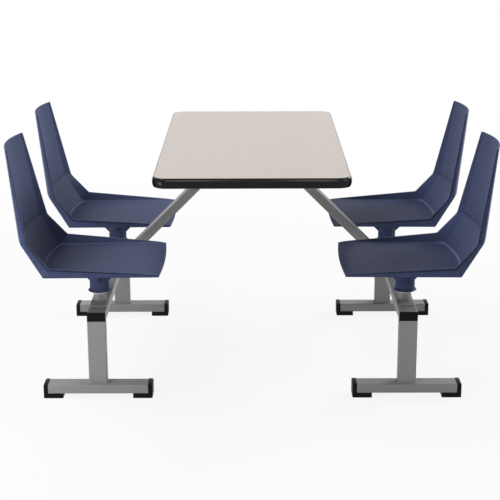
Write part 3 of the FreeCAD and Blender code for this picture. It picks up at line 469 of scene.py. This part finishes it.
def mark_painted_light(bm, inside, outside):
    """Marks where the shell's finish paints highlights and where it paints shade."""
    painted_highlight, painted_shade = bm.verts.layers.float["painted_highlight"], bm.verts.layers.float["painted_shade"]
    # Painted highlights along the heel, the pan's side creases and the pan's rim; painted shade along the lumbar
    # fold.
    for (row, column), vert in inside.items():
        across = abs(ACROSS[column])
        if row == HEEL_ROW and across <= 2:
            vert[painted_highlight] = HEEL_HIGHLIGHT
        elif row > HEEL_ROW and column in CREASE_COLUMNS:
            vert[painted_highlight] = SIDE_HIGHLIGHT
        elif row >= HEEL_ROW and across == 3:
            vert[painted_highlight] = RIM_HIGHLIGHT
        if row == LUMBAR_ROW and across <= 2:
            vert[painted_shade] = FOLD_SHADE
    # Painted shade on the outside, under the rim's lip.
    for (_, column), vert in outside.items():
        if column in LIP_COLUMNS:
            vert[painted_shade] = LIP_SHADE


def make_shell(corner):
    """A one-piece bucket: inner and outer faces joined round the rim, smoothed between creases."""
    bm = bmesh.new()
    layer = bm.edges.layers.float.new("crease_edge")
    # Layers for the painted highlights and painted shade that the seat's finish shows.
    for mark in ("painted_highlight", "painted_shade"):
        bm.verts.layers.float.new(mark)
    inside = add_cage(bm, INSIDE, lipped=False)
    outside = add_cage(bm, OUTSIDE, lipped=True)
    for column in range(CREASE_COLUMNS[0], CREASE_COLUMNS[1] + 1):
        inside[HEEL_ROW, column].co.z += HEEL_BEAD
        inside[HEEL_ROW - 1, column].co.z -= HEEL_VALLEY
    mark_painted_light(bm, inside, outside)
    inner_rim, outer_rim = border(inside), border(outside)
    bmesh.ops.bridge_loops(bm, edges=inner_rim + outer_rim)
    for edge in inner_rim + outer_rim:
        edge[layer] = RIM_CREASE
    rows, columns = range(len(ROWS)), range(len(ACROSS))
    for grid, creases in ((inside, INNER_ROW_CREASES), (outside, OUTER_ROW_CREASES)):
        for row, weight in creases.items():
            crease_line(bm, layer, [grid[row, column] for column in columns], weight)
    for column in CREASE_COLUMNS:
        crease_line(bm, layer, [inside[row, column] for row in rows], INNER_CREASE)
        crease_line(bm, layer, [outside[row, column] for row in rows], OUTER_CREASE)
    for column in LIP_COLUMNS:
        crease_line(bm, layer, [outside[row, column] for row in rows], OUTER_CREASE)
    bmesh.ops.recalc_face_normals(bm, faces=list(bm.faces))
    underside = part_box("seat_shell_" + corner)[0].z + SHELL_PAD
    place = station(corner) @ Matrix.Translation((0, 0, underside))
    shell = finish_piece("bucket_" + corner, bm, "seat_plastic", "seat_" + corner,
                         ["seat_shell_" + corner], math.pi, place)
    smooth = shell.modifiers.new("Rounding", "SUBSURF")
    smooth.levels = smooth.render_levels = SUBDIVISIONS
    smooth.boundary_smooth = "PRESERVE_CORNERS"


def make_shell_pad(corner):
    """The thick pad under the pan, which the seat plate is screwed to."""
    bm = bmesh.new()
    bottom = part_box("seat_shell_" + corner)[0].z
    top = bottom + SHELL_PAD + PAD_SUNK
    add_block(bm, (-PAD_HALF, -PAD_HALF, bottom), (PAD_HALF, PAD_HALF, top), PAD_ROUNDING)
    finish_piece("bucket_pad_" + corner, bm, "seat_plastic", "seat_" + corner,
                 place=station(corner))


HUB_BORE = 0.0285
HUB_RADIUS = 0.032
HUB_LIP = 0.0375
HUB_STEPS = 64
FLANGE_THICKNESS = 0.004
FLANGE_ROUNDING = 0.0009
# The barrel's section as (radius, height) points: from the bore round the flared foot, measured
# up from the foot, then the flare into the flange, measured up from the flange's underside.
HUB_FOOT = [
    (HUB_BORE, 0.0006), (HUB_BORE + 0.0006, 0.0), (HUB_LIP - 0.0008, 0.0), (HUB_LIP, 0.0008),
    (HUB_LIP, 0.0022), (HUB_LIP - 0.0006, 0.0032), (HUB_RADIUS + 0.0010, 0.0066),
    (HUB_RADIUS + 0.0003, 0.0082), (HUB_RADIUS + 0.0002, 0.0110),
]
HUB_HEAD = [
    (HUB_RADIUS - 0.0004, -0.006), (HUB_RADIUS + 0.0010, -0.0022), (HUB_RADIUS + 0.0040, 0.0005),
    (HUB_RADIUS + 0.0040, FLANGE_THICKNESS), (HUB_BORE, FLANGE_THICKNESS),
]
RIB_REACH = 0.050
RIB_HALF = 0.0025
RIB_SUNK = 0.002
RIB_ROUNDING = 0.0008


def make_hub_cover(corner):
    """The cover round the swivel: a drafted barrel with a flared lip, a flange and four ribs."""
    low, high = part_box("hub_cover_" + corner)
    flange = high.z - FLANGE_THICKNESS
    profile = [(radius, low.z + height) for radius, height in HUB_FOOT]
    profile += [(radius, flange + height) for radius, height in HUB_HEAD]
    bm = bmesh.new()
    add_turned(bm, profile, HUB_STEPS)
    half = (high.x - low.x) / 2
    add_block(bm, (-half, -half, flange), (half, half, high.z), FLANGE_ROUNDING, 2)
    for quarter in range(4):
        add_rib(bm, flange, Matrix.Rotation(quarter * math.pi / 2, 4, "Z"))
    finish_piece("swivel_cover_" + corner, bm, "seat_plastic", "seat_" + corner,
                 ["hub_cover_" + corner], place=station(corner))


def add_rib(bm, flange, turn):
    """A triangular rib from the barrel up to the flange."""
    root = HUB_RADIUS - RIB_SUNK
    corners = [(root, flange - RIB_REACH), (HUB_RADIUS, flange - RIB_REACH),
               (HUB_RADIUS + RIB_REACH, flange), (HUB_RADIUS + RIB_REACH, flange + RIB_SUNK),
               (root, flange + RIB_SUNK)]
    face = bm.faces.new([bm.verts.new((x, -RIB_HALF, z)) for x, z in corners])
    verts = new_verts(bmesh.ops.extrude_face_region(bm, geom=[face]))
    bmesh.ops.translate(bm, verts=verts, vec=(0, 2 * RIB_HALF, 0))
    verts += list(face.verts)
    faces = {face for vert in verts for face in vert.link_faces}
    bmesh.ops.recalc_face_normals(bm, faces=list(faces))
    bmesh.ops.transform(bm, matrix=turn, verts=verts)
    bevel(bm, linked_edges(verts), RIB_ROUNDING, 2)


# ---- edge of the top -------------------------------------------------------------------------

TOP_CORNER = 0.046
CORNER_STEPS = 24
BAND_THICKNESS = 0.006
BAND_BULGE = 0.033
BAND_LIP = 0.003
BAND_SHARP = math.radians(50)


def carry_on(bm, edges, offset):
    """Extrudes a chain of edges by an offset and gives back the edges at its end."""
    made = bmesh.ops.extrude_edge_only(bm, edges=edges)
    verts = new_verts(made)
    bmesh.ops.translate(bm, verts=verts, vec=offset)
    fresh = set(verts)
    return [item for item in made["geom"]
            if isinstance(item, bmesh.types.BMEdge) and fresh.issuperset(item.verts)]


def band_profile(low, high):
    """The convex section of the band, as (outwards, height) points from its inner top edge."""
    middle = (low + high) / 2
    swing = math.degrees(math.asin(((high - low) / 2 - BAND_LIP) / (BAND_BULGE - BAND_LIP)))
    lip_out = -BAND_BULGE + (BAND_BULGE - BAND_LIP) * math.cos(math.radians(swing))
    upper = arc((lip_out, high - BAND_LIP), BAND_LIP, 90, swing, 6)
    bulge = arc((-BAND_BULGE, middle), BAND_BULGE, swing, -swing, 14)[1:-1]
    lower = arc((lip_out, low + BAND_LIP), BAND_LIP, -swing, -90, 6)
    return [(-BAND_THICKNESS, high), *upper, *bulge, *lower, (-BAND_THICKNESS, low)]


def make_edge_band():
    """The vinyl edge: run along half a side, turned round a corner, and mirrored twice."""
    low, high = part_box("edge_band")
    bm = bmesh.new()
    verts = [bm.verts.new((0, low.y - out, z)) for out, z in band_profile(low.z, high.z)]
    edges = carry_on(bm, closed_loop(bm, verts), (high.x - TOP_CORNER, 0, 0))
    verts = list({vert for edge in edges for vert in edge.verts})
    centre = (high.x - TOP_CORNER, low.y + TOP_CORNER, 0)
    turned = bmesh.ops.spin(bm, geom=verts + edges, cent=centre, axis=(0, 0, 1),
                            angle=math.pi / 2, steps=CORNER_STEPS, use_merge=False)
    edges = [item for item in turned["geom_last"] if isinstance(item, bmesh.types.BMEdge)]
    carry_on(bm, edges, (0, -low.y - TOP_CORNER, 0))
    for axis in "XY":
        everything = list(bm.verts) + list(bm.edges) + list(bm.faces)
        bmesh.ops.mirror(bm, geom=everything, matrix=Matrix.Identity(4),
                         merge_dist=SAME_PLACE, axis=axis)
    bmesh.ops.remove_doubles(bm, verts=list(bm.verts), dist=SAME_PLACE / 10)
    bmesh.ops.recalc_face_normals(bm, faces=list(bm.faces))
    finish_piece("top_edge_band", bm, "edge_vinyl", "frame", ["edge_band"], BAND_SHARP)


# ---- welds -----------------------------------------------------------------------------------

BEAD_PITCH = 0.0024
BEAD_SIDES = 8
# A bead swells and shrinks from step to step, wavers along its way, and is thin at its ends.
BEAD_RIPPLE = 0.13
BEAD_WAVER = 0.07
WAVER_PACE = 1.3
BEAD_END = 0.35
# How far beads stand off the level and the sides of the cut that they run round.
BEAD_LIFT = 0.0006
BEAD_OFF = 0.0004
LEG_BEAD, HEAD_BEAD = 0.0032, 0.003
PLATE_BEAD, COLLAR_BEAD = 0.0024, 0.0026
ARM_BEAD, CROSS_BAR_BEAD = 0.003, 0.0028
HEAD_INSET = 0.004
CROSS_BAR_INSET = 0.003
TUBE_ROUNDING = 0.003
PLATE_ROUNDING = 0.006
PLATE_HALF = Vector((0.026, 0.065, 0))
PLATE_LIFT = 0.001
COLLAR_RADIUS = 0.0212
COLLAR_STEPS = 24
# A mesh's points this near a level count as on it.
LEVEL_BAND = 0.0002


def stepped(path, closed):
    """Points a bead's pitch apart along a path of corners."""
    corners = [Vector(point) for point in path]
    legs = zip(corners, corners[1:] + corners[:1] if closed else corners[1:])
    points = []
    for start, end in legs:
        count = max(1, round((end - start).length / BEAD_PITCH))
        points += [start.lerp(end, i / count) for i in range(count)]
    return points + [corners[0] if closed else corners[-1]]


def add_bead(bm, path, radius, closed=True):
    """A rippled weld bead: a ring carried along the path, swelling and shrinking at each step."""
    points = stepped(path, closed)
    last = len(points) - 1
    for i, point in enumerate(points):
        before = points[i - 1] if i else points[-2 if closed else 0]
        after = points[i + 1] if i < last else points[1 if closed else last]
        heading = (after - before).normalized()
        waver = BEAD_WAVER * math.sin(WAVER_PACE * (i % last))
        swell = radius * (1 + BEAD_RIPPLE * (-1) ** i + waver)
        if not closed and i in (0, last):
            swell = radius * BEAD_END
        if i == 0:
            aim = heading.to_track_quat("Z", "Y").to_matrix().to_4x4()
            ring = bmesh.ops.create_circle(bm, segments=BEAD_SIDES, radius=swell,
                                           matrix=Matrix.Translation(point) @ aim)["verts"]
            edges = list(linked_edges(ring))
        elif closed and i == last:
            first = {edge for edge in linked_edges(start) if start.issuperset(edge.verts)}
            bmesh.ops.bridge_loops(bm, edges=edges + list(first))
            break
        else:
            edges = carry_on(bm, edges, (0, 0, 0))
            ring = list({v for e in edges for v in e.verts})
            turn = Matrix.LocRotScale(point, way.rotation_difference(heading), [swell / size] * 3)
            bmesh.ops.transform(bm, matrix=turn @ Matrix.Translation(-spot), verts=ring)
        if i == 0:
            start = set(ring)
        way, size, spot = heading, swell, point


def outline(low, high, level, rounding=TUBE_ROUNDING, swell=0.0):
    """The corners of a level rectangle, cut where the piece inside it is rounded."""
    x0, y0, x1, y1 = low[0] - swell, low[1] - swell, high[0] + swell, high[1] + swell
    cut = rounding * 0.6
    flat = [(x0 + cut, y0), (x1 - cut, y0), (x1, y0 + cut), (x1, y1 - cut),
            (x1 - cut, y1), (x0 + cut, y1), (x0, y1 - cut), (x0, y0 + cut)]
    return [(x, y, level) for x, y in flat]


def footprint(node, level):
    """The box that a node's mesh fills at one height."""
    verts = frame["nodes"][node].data.vertices
    points = [vert.co for vert in verts if abs(vert.co.z - level) < LEVEL_BAND]
    low = Vector((min(p.x for p in points), min(p.y for p in points), level))
    high = Vector((max(p.x for p in points), max(p.y for p in points), level))
    return low, high


def finish_beads(name, bm):
    bmesh.ops.holes_fill(bm, edges=list(bm.edges), sides=0)
    bmesh.ops.recalc_face_normals(bm, faces=list(bm.faces))
    finish_piece(name, bm, "frame_paint", "frame", sharp=math.pi)


def make_leg_welds(corner):
    """Beads round the foot of a leg, and across its head under the rail."""
    low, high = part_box("leg_" + corner)
    bm = bmesh.new()
    add_bead(bm, outline(low, high, low.z + BEAD_LIFT, swell=BEAD_OFF), LEG_BEAD)
    inner = high.y if low.y < 0 else low.y
    ends = (low.x + HEAD_INSET, high.x - HEAD_INSET)
    add_bead(bm, [(x, inner, high.z - BEAD_LIFT) for x in ends], HEAD_BEAD, closed=False)
    finish_beads("leg_welds_" + corner, bm)


def make_post_welds(corner):
    """Beads round a post's plate and round the foot of its collar."""
    post_low, post_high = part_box("seat_post_" + corner)
    middle = (post_low + post_high) / 2
    rail_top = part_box("side_rail_left")[1].z
    plate_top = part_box("post_collars")[0].z
    bm = bmesh.new()
    plate = outline(middle - PLATE_HALF, middle + PLATE_HALF, rail_top + PLATE_LIFT, PLATE_ROUNDING)
    add_bead(bm, plate, PLATE_BEAD)
    collar = arc((middle.x, middle.y), COLLAR_RADIUS, 0, 360, COLLAR_STEPS)[:-1]
    add_bead(bm, [(x, y, plate_top + BEAD_LIFT) for x, y in collar], COLLAR_BEAD)
    finish_beads("post_welds_" + corner, bm)


def make_arm_welds(side):
    """Beads round both cut ends of a sloping arm."""
    node = "arm_" + side
    low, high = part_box(node)
    bm = bmesh.new()
    for level, nudge in ((low.z, BEAD_LIFT), (high.z, -BEAD_LIFT)):
        start, end = footprint(node, level)
        add_bead(bm, outline(start, end, level + nudge, swell=BEAD_OFF), ARM_BEAD)
    finish_beads("arm_welds_" + side, bm)


def make_cross_bar_welds(end):
    """Beads on three sides of each end of a cross bar."""
    low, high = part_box("cross_bar_" + end)
    bm = bmesh.new()
    head = high.z - CROSS_BAR_INSET
    for x in (low.x, high.x):
        path = [(x, low.y, head), (x, low.y, low.z), (x, high.y, low.z), (x, high.y, head)]
        add_bead(bm, path, CROSS_BAR_BEAD, closed=False)
    finish_beads("cross_bar_welds_" + end, bm)


# ---- feet ------------------------------------------------------------------------------------

CAP_PAD_LENGTH = 0.064
CAP_ROUNDING = 0.0035
CAP_EDGE = 0.0008
CAP_SHARP = math.radians(50)


def make_foot_caps(corner):
    """Moulded caps on both ends of a foot bar, each an end wall with a pad under the bar."""
    low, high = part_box("foot_caps_" + corner)
    bar_low, bar_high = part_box("foot_bar_" + corner)
    for name, outer, wall, pad in (("near", low.x, bar_low.x, low.x + CAP_PAD_LENGTH),
                                   ("far", high.x, bar_high.x, high.x - CAP_PAD_LENGTH)):
        bm = bmesh.new()
        section = [(outer, low.z), (pad, low.z), (pad, bar_low.z), (wall, bar_low.z),
                   (wall, high.z), (outer, high.z)]
        face = bm.faces.new([bm.verts.new((x, low.y, z)) for x, z in section])
        verts = new_verts(bmesh.ops.extrude_face_region(bm, geom=[face]))
        bmesh.ops.translate(bm, verts=verts, vec=(0, high.y - low.y, 0))
        bmesh.ops.recalc_face_normals(bm, faces=list(bm.faces))
        outward = [edge for edge in bm.edges
                   if all(abs(vert.co.x - outer) < SAME_PLACE for vert in edge.verts)]
        bevel(bm, outward, CAP_ROUNDING, 4)
        rest = [edge for edge in bm.edges
                if edge.is_manifold and edge.calc_face_angle() > CAP_SHARP]
        bevel(bm, rest, CAP_EDGE, 2)
        finish_piece("foot_cap_%s_%s" % (corner, name), bm, "cap_plastic", "frame",
                     ["foot_caps_" + corner] if name == "near" else ())


# ---- room and light --------------------------------------------------------------------------

CAMERA_PLACE = (0.0015, -4.6054, 1.6441)
CAMERA_PITCH = -0.269
CAMERA_YAW = 0.002
CAMERA_ROLL = -0.003
SENSOR = 36.0
FOCAL_PIXELS = 1357.1
PICTURE_WIDTH = 500
CLIP_END = 200


def make_camera():
    data = bpy.data.cameras.new("Camera")
    data.sensor_width = SENSOR
    data.lens = FOCAL_PIXELS / PICTURE_WIDTH * SENSOR
    data.clip_end = CLIP_END
    camera = bpy.data.objects.new("Camera", data)
    yaw = Matrix.Rotation(CAMERA_YAW, 4, "Z")
    pitch = Matrix.Rotation(math.pi / 2 + CAMERA_PITCH, 4, "X")
    roll = Matrix.Rotation(CAMERA_ROLL, 4, "Z")
    camera.matrix_world = Matrix.Translation(CAMERA_PLACE) @ yaw @ pitch @ roll
    bpy.context.scene.collection.objects.link(camera)
    bpy.context.scene.camera = camera


def add_softbox(name, place, aim, width, height, power):
    data = bpy.data.lights.new(name, "AREA")
    data.shape = "RECTANGLE"
    data.size, data.size_y = width, height
    data.energy = power
    lamp = bpy.data.objects.new(name, data)
    turn = (Vector(aim) - Vector(place)).to_track_quat("-Z", "Y").to_matrix().to_4x4()
    lamp.matrix_world = Matrix.Translation(place) @ turn
    lamp.visible_camera = False
    bpy.context.scene.collection.objects.link(lamp)


def seen_white(tree, plain, white):
    """Mixes in plain white for the camera, and for what gloss and glass show."""
    path = tree.nodes.new("ShaderNodeLightPath")
    total = path.outputs["Is Camera Ray"]
    for output in ("Is Glossy Ray", "Is Transmission Ray"):
        add = tree.nodes.new("ShaderNodeMath")
        add.operation = "ADD"
        add.use_clamp = True
        tree.links.new(total, add.inputs[0])
        tree.links.new(path.outputs[output], add.inputs[1])
        total = add.outputs[0]
    mix = tree.nodes.new("ShaderNodeMixShader")
    tree.links.new(total, mix.inputs["Fac"])
    tree.links.new(plain, mix.inputs[1])
    tree.links.new(white, mix.inputs[2])
    return mix.outputs["Shader"]


AMBIENT = 0.04


def make_world():
    world = bpy.data.worlds.new("Studio")
    bpy.context.scene.world = world
    world.use_nodes = True
    tree = world.node_tree
    plain = tree.nodes["Background"]
    plain.inputs["Color"].default_value = (1, 1, 1, 1)
    plain.inputs["Strength"].default_value = AMBIENT
    white = tree.nodes.new("ShaderNodeBackground")
    white.inputs["Color"].default_value = (1, 1, 1, 1)
    white.inputs["Strength"].default_value = 1.0
    shown = seen_white(tree, plain.outputs["Background"], white.outputs["Background"])
    tree.links.new(shown, tree.nodes["World Output"].inputs["Surface"])


# The floor starts to turn white at the near distance and is plain white from the far one on.
FLOOR_REACH = 60.0
FLOOR_NEAR, FLOOR_FAR = 1.2, 3.2
FLOOR_WHITE = 0.88
FLOOR_TONE = 0.8
FLOOR_ROUGHNESS = 0.9


def make_floor():
    """A pale floor that keeps the table's shadow and runs out to white."""
    bm = bmesh.new()
    bmesh.ops.create_grid(bm, x_segments=1, y_segments=1, size=FLOOR_REACH)
    mesh = bpy.data.meshes.new("Floor")
    bm.to_mesh(mesh)
    bm.free()
    floor = bpy.data.objects.new("Floor", mesh)
    bpy.context.scene.collection.objects.link(floor)
    material = bpy.data.materials.new("floor_white")
    material.use_nodes = True
    tree = material.node_tree
    shader = tree.nodes["Principled BSDF"]
    shader.inputs["Base Color"].default_value = (FLOOR_TONE, FLOOR_TONE, FLOOR_TONE, 1)
    shader.inputs["Roughness"].default_value = FLOOR_ROUGHNESS
    glow = tree.nodes.new("ShaderNodeEmission")
    glow.inputs["Color"].default_value = (1, 1, 1, 1)
    place = tree.nodes.new("ShaderNodeTexCoord").outputs["Object"]
    reach = tree.nodes.new("ShaderNodeVectorMath")
    reach.operation = "LENGTH"
    tree.links.new(place, reach.inputs[0])
    share = tree.nodes.new("ShaderNodeMapRange")
    share.interpolation_type = "SMOOTHSTEP"
    limits = {"From Min": FLOOR_NEAR, "From Max": FLOOR_FAR, "To Min": FLOOR_WHITE, "To Max": 1.0}
    for socket, number in limits.items():
        share.inputs[socket].default_value = number
    tree.links.new(reach.outputs["Value"], share.inputs["Value"])
    part = tree.nodes.new("ShaderNodeMixShader")
    tree.links.new(share.outputs["Result"], part.inputs["Fac"])
    tree.links.new(shader.outputs["BSDF"], part.inputs[1])
    tree.links.new(glow.outputs["Emission"], part.inputs[2])
    shown = seen_white(tree, shader.outputs["BSDF"], part.outputs["Shader"])
    tree.links.new(shown, tree.nodes["Material Output"].inputs["Surface"])
    mesh.materials.append(material)


# Far softboxes: azimuth from straight in front towards +X, elevation, size and power.
LIGHT_REACH = 6.0
LIGHT_AIM = Vector((0, 0, 0.55))
SOFTBOXES = {
    "KeyHigh": (-100, 55, 3.0, 178),
    "KeyFrontLeft": (-50, 38, 2.4, 72),
    "SideFrontRight": (60, 22, 2.4, 45),
    "SideRearRight": (120, 22, 2.4, 262),
}
# Near ones, by place, aim, width, height and power. The fill is lower than the top, so that it
# doesn't graze the laminate. The strips stand either side of the camera and draw the streak along
# the glossy edge of the top. They stay weak, so that the laminate keeps its colour where it
# mirrors them.
STRIP_AIM = (0, -0.6, 0.75)
NEAR_BOXES = {
    "FillLeft": ((-1.5, -1.5, 0.44), (-0.5, 0.4, 0.2), 0.6, 0.6, 9),
    "StripLeft": ((-0.49, -4.65, 2.39), STRIP_AIM, 0.3, 1.0, 8),
    "StripRight": ((0.49, -4.65, 2.39), STRIP_AIM, 0.3, 1.0, 8),
}


def make_lights():
    for name, (azimuth, elevation, size, power) in SOFTBOXES.items():
        around, up = math.radians(azimuth), math.radians(elevation)
        flat = math.cos(up)
        way = Vector((math.sin(around) * flat, -math.cos(around) * flat, math.sin(up)))
        add_softbox(name, LIGHT_AIM + LIGHT_REACH * way, LIGHT_AIM, size, size, power)
    for name, box in NEAR_BOXES.items():
        add_softbox(name, *box)


bpy.context.scene.view_settings.view_transform = "Standard"
dress_frame()
for corner in CORNERS:
    make_shell(corner)
    make_shell_pad(corner)
    make_hub_cover(corner)
    make_foot_caps(corner)
    make_leg_welds(corner)
    make_post_welds(corner)
make_edge_band()
for side in SIDES:
    make_arm_welds(side)
for end in ENDS:
    make_cross_bar_welds(end)
make_camera()
make_world()
make_floor()
make_lights()
